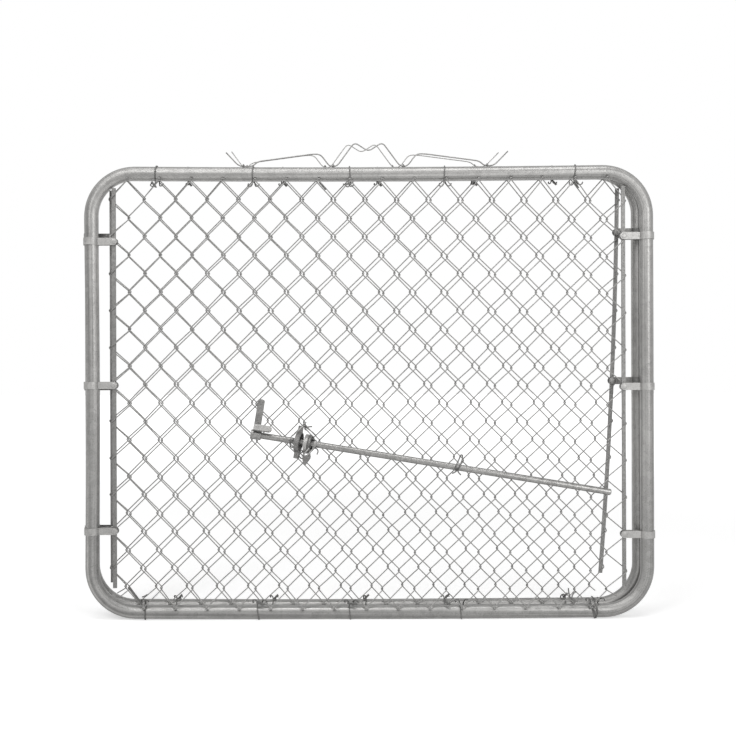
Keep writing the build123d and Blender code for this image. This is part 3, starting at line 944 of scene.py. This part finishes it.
# The head's dome is (r cos a, -h sin a), the nut is a profile turned over six sides.
def makeBolts(leafName):
    look = boltLook
    front, back = boltPlaces(leafName)
    turns = randomPlace.uniform(0, 1, len(front))
    head, rise = look["head"][leafName], look["dome"][leafName]
    slope = np.linspace(0, 1, 7) * math.pi / 2 * 0.97
    dome = [(head, 0.0004)] + [(head * math.cos(a), -rise * math.sin(a)) for a in slope]
    heads = turnProfile(front, dome, 18, turns)[:, :, ::-1]
    headPiece = meshFromRings(leafName + "BandBoltHeads", heads)
    settle(headPiece, strapZinc if leafName == "front" else boltZinc)
    wide, deep = look["nut"], look["nutHeight"]
    nut = [(wide, 0.0), (wide, deep * 0.85), (wide * 0.88, deep)]
    nutPiece = meshFromRings(leafName + "BandNuts", turnProfile(back, nut, 6, turns))
    settle(nutPiece, boltZinc)
    thin, end = look["thread"], deep + look["tip"]
    thread = [(thin, 0.001), (thin, end), (thin * 0.8, end + 0.0006)]
    threadPiece = meshFromRings(leafName + "BandBoltEnds", turnProfile(back, thread, 12, turns))
    settle(threadPiece, boltZinc)


for leafName in leaves:
    makeBolts(leafName)
print("band bolts set")


# Finishes on the CAD pieces that stay as they are

for name, node in nodes.items():
    if node.hide_render:
        continue
    if name.endswith("_bar"):
        material, slotName = barZinc, "zinc_strap"
    # the rear leaf's bands get the darker finish as painted shade; the post clamp, hinge lug and rod
    # handle get it as their duller zinc
    elif name.startswith("rear") or name in ("post_clamp", "hinge_lug", "rod_handle"):
        material, slotName = dullAndShadedZinc, "zinc_strap"
    elif name.endswith("_band") or name in ("frame_clamp", "guide_ring"):
        material, slotName = strapZinc, "zinc_strap"
    elif name == "rod_latch_plate":
        material, slotName = wireZinc, "zinc_rod"
    else:
        material, slotName = rodZinc, "zinc_rod"
    node.data.materials.clear()
    node.data.materials.append(material)
print("CAD pieces finished")


# Studio

studioLook = {
    "worldGrey": 0.55,
    "worldStrength": 0.66,
    "keyPower": 42,
    "fillPower": 36,
    "topPower": 28,
    "floorColour": 0.78,
    "glowNear": 0.5,  # the paper looks evenly white near the gate and far behind it
    "glowFar": 0.92,
    "nearReach": 0.8,
    "farReach": 6.0,
}
cameraLook = {"place": (0.6764, -2.416, 0.0455), "lens": 45.93, "roll": 0.2}


def makeLamp(name, place, target, power, width, height):
    lampData = bpy.data.lights.new(name, "AREA")
    lampData.shape = "RECTANGLE"
    lampData.size = width
    lampData.size_y = height
    lampData.energy = power
    lamp = bpy.data.objects.new(name, lampData)
    lamp.location = place
    aim = Vector(target) - Vector(place)
    lamp.rotation_euler = aim.to_track_quat("-Z", "Y").to_euler()
    scene.collection.objects.link(lamp)
    return lamp


# The room is grey to the object and white to the camera, to glossy rays and through glass.
def makeWorld():
    look = studioLook
    world = bpy.data.worlds.new("studioWorld")
    scene.world = world
    world.use_nodes = True
    tree = world.node_tree
    tree.nodes.clear()
    output = addNode(tree, "ShaderNodeOutputWorld", (600, 0))
    mix = addNode(tree, "ShaderNodeMixShader", (400, 0))
    room = addNode(tree, "ShaderNodeBackground", (100, 0))
    room.inputs["Color"].default_value = (look["worldGrey"],) * 3 + (1,)
    room.inputs["Strength"].default_value = look["worldStrength"]
    white = addNode(tree, "ShaderNodeBackground", (100, -200))
    white.inputs["Color"].default_value = (1, 1, 1, 1)
    rays = addNode(tree, "ShaderNodeLightPath", (-300, 200))
    seen = addNode(tree, "ShaderNodeMath", (-100, 200), operation="MAXIMUM")
    seenToo = addNode(tree, "ShaderNodeMath", (100, 200), operation="MAXIMUM")
    tree.links.new(rays.outputs["Is Camera Ray"], seen.inputs[0])
    tree.links.new(rays.outputs["Is Glossy Ray"], seen.inputs[1])
    tree.links.new(seen.outputs[0], seenToo.inputs[0])
    tree.links.new(rays.outputs["Is Transmission Ray"], seenToo.inputs[1])
    tree.links.new(seenToo.outputs[0], mix.inputs[0])
    tree.links.new(room.outputs[0], mix.inputs[1])
    tree.links.new(white.outputs[0], mix.inputs[2])
    tree.links.new(mix.outputs[0], output.inputs["Surface"])


# Pale paper that takes the object's shadow. It glows a little for camera and glossy rays only.
def makeFloor():
    look = studioLook
    bpy.ops.mesh.primitive_plane_add(size=40, location=(0.7, 0, cadBounds[0].z))
    floor = bpy.context.object
    floor.name = "studioFloor"
    paper = bpy.data.materials.new("studioPaper")
    paper.use_nodes = True
    tree = paper.node_tree
    shader = tree.nodes["Principled BSDF"]
    shader.inputs["Base Color"].default_value = (look["floorColour"],) * 3 + (1,)
    shader.inputs["Roughness"].default_value = 0.9
    shader.inputs["Specular IOR Level"].default_value = 0.0
    glow = addNode(tree, "ShaderNodeEmission", (0, -300))
    coords = addNode(tree, "ShaderNodeTexCoord", (-800, -300))
    away = addNode(tree, "ShaderNodeVectorMath", (-600, -300), operation="LENGTH")
    spread = addNode(
        tree, "ShaderNodeMapRange", (-400, -300), interpolation_type="SMOOTHSTEP"
    )
    spread.inputs["From Min"].default_value = look["nearReach"]
    spread.inputs["From Max"].default_value = look["farReach"]
    spread.inputs["To Min"].default_value = look["glowNear"]
    spread.inputs["To Max"].default_value = look["glowFar"]
    tree.links.new(coords.outputs["Object"], away.inputs[0])
    tree.links.new(away.outputs["Value"], spread.inputs["Value"])
    tree.links.new(spread.outputs["Result"], glow.inputs["Strength"])
    rays = addNode(tree, "ShaderNodeLightPath", (-400, -500))
    seen = addNode(tree, "ShaderNodeMath", (-200, -500), operation="MAXIMUM")
    glowShare = addNode(tree, "ShaderNodeMixShader", (200, -300))
    both = addNode(tree, "ShaderNodeAddShader", (400, -100))
    nothing = addNode(tree, "ShaderNodeEmission", (0, -450))
    nothing.inputs["Strength"].default_value = 0
    tree.links.new(rays.outputs["Is Camera Ray"], seen.inputs[0])
    tree.links.new(rays.outputs["Is Glossy Ray"], seen.inputs[1])
    tree.links.new(seen.outputs[0], glowShare.inputs[0])
    tree.links.new(nothing.outputs[0], glowShare.inputs[1])
    tree.links.new(glow.outputs[0], glowShare.inputs[2])
    tree.links.new(shader.outputs[0], both.inputs[0])
    tree.links.new(glowShare.outputs[0], both.inputs[1])
    tree.links.new(both.outputs[0], tree.nodes["Material Output"].inputs["Surface"])
    floor.data.materials.append(paper)


def makeLamps():
    look = studioLook
    middle = (0.68, 0, 0)
    makeLamp("keyLamp", (-0.9, -2.6, 2.3), middle, look["keyPower"], 1.6, 1.6)
    makeLamp("fillLamp", (2.6, -2.8, 0.9), middle, look["fillPower"], 1.8, 1.8)
    makeLamp("topLamp", (0.7, -0.9, 2.6), (0.68, 0, 0.3), look["topPower"], 2.6, 0.9)


def makeCamera():
    cameraData = bpy.data.cameras.new("photoCamera")
    cameraData.sensor_width = 36
    cameraData.lens = cameraLook["lens"]
    camera = bpy.data.objects.new("photoCamera", cameraData)
    camera.location = cameraLook["place"]
    camera.rotation_euler = (math.radians(90), math.radians(cameraLook["roll"]), 0)
    scene.collection.objects.link(camera)
    scene.camera = camera


makeCamera()
makeWorld()
makeFloor()
makeLamps()
scene.view_settings.view_transform = "Standard"
print("studio ready")

bpy.context.view_layer.update()
